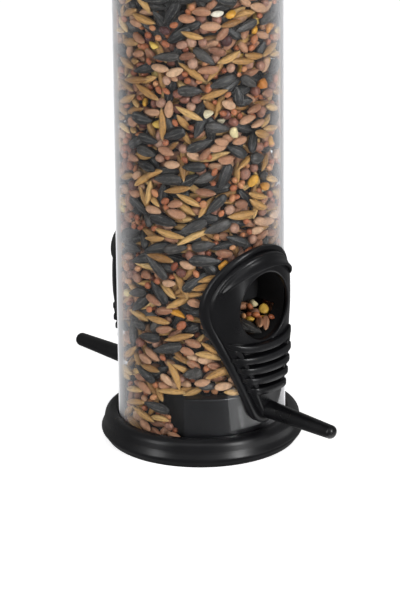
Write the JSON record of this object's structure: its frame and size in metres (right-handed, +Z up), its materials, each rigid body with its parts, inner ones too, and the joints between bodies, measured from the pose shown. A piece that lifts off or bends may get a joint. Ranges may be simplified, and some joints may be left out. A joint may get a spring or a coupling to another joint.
{
  "type": "tube bird feeder",
  "caption": "Clear tube bird feeder with a black flared base, moulded feeding ports with perches, a lift-off lid and a swinging wire hanger.",
  "frame": {"origin": "middle of the base's foot, on the surface that it stands on", "axes": "+Z up along the tube, +X out through the front feeding port and its perch"},
  "size_m": [0.1448, 0.0834, 0.3037],
  "materials": {
    "base_plastic": "black moulded plastic, soft gloss",
    "port_plastic": "black moulded plastic, soft gloss",
    "baffle_plastic": "black moulded plastic, matt",
    "perch_plastic": "black moulded plastic, soft gloss",
    "lid_plastic": "black moulded plastic, soft gloss",
    "clear_tube": "clear polycarbonate tube, polished",
    "wire": "zinc-plated spring wire",
    "screw_steel": "zinc-plated",
    "seed": "dry mixed bird seed"
  },
  "bodies": {
    "feeder": {"base_tray": "base_plastic", "tube": "clear_tube", "port_front": "port_plastic", "port_rear": "port_plastic", "baffle_front": "baffle_plastic", "baffle_rear": "baffle_plastic", "perch_front": "perch_plastic", "perch_rear": "perch_plastic", "collar": "lid_plastic", "seed_fill": "seed"},
    "bail": {"hanger": "wire"},
    "cover": {"lid": "lid_plastic", "lid_knob": "lid_plastic", "knob_screw": "screw_steel"}
  },
  "joints": [
    {"name": "hanger_swing", "type": "hinge", "parent": "feeder", "child": "bail", "pos_m": [0, 0, 0.2], "axis": [0, 1, 0], "range_deg": [-150, 150]},
    {"name": "lid_lift", "type": "slide", "parent": "feeder", "child": "cover", "axis": [0, 0, 1], "range_m": [0, 0.04]}
  ]
}
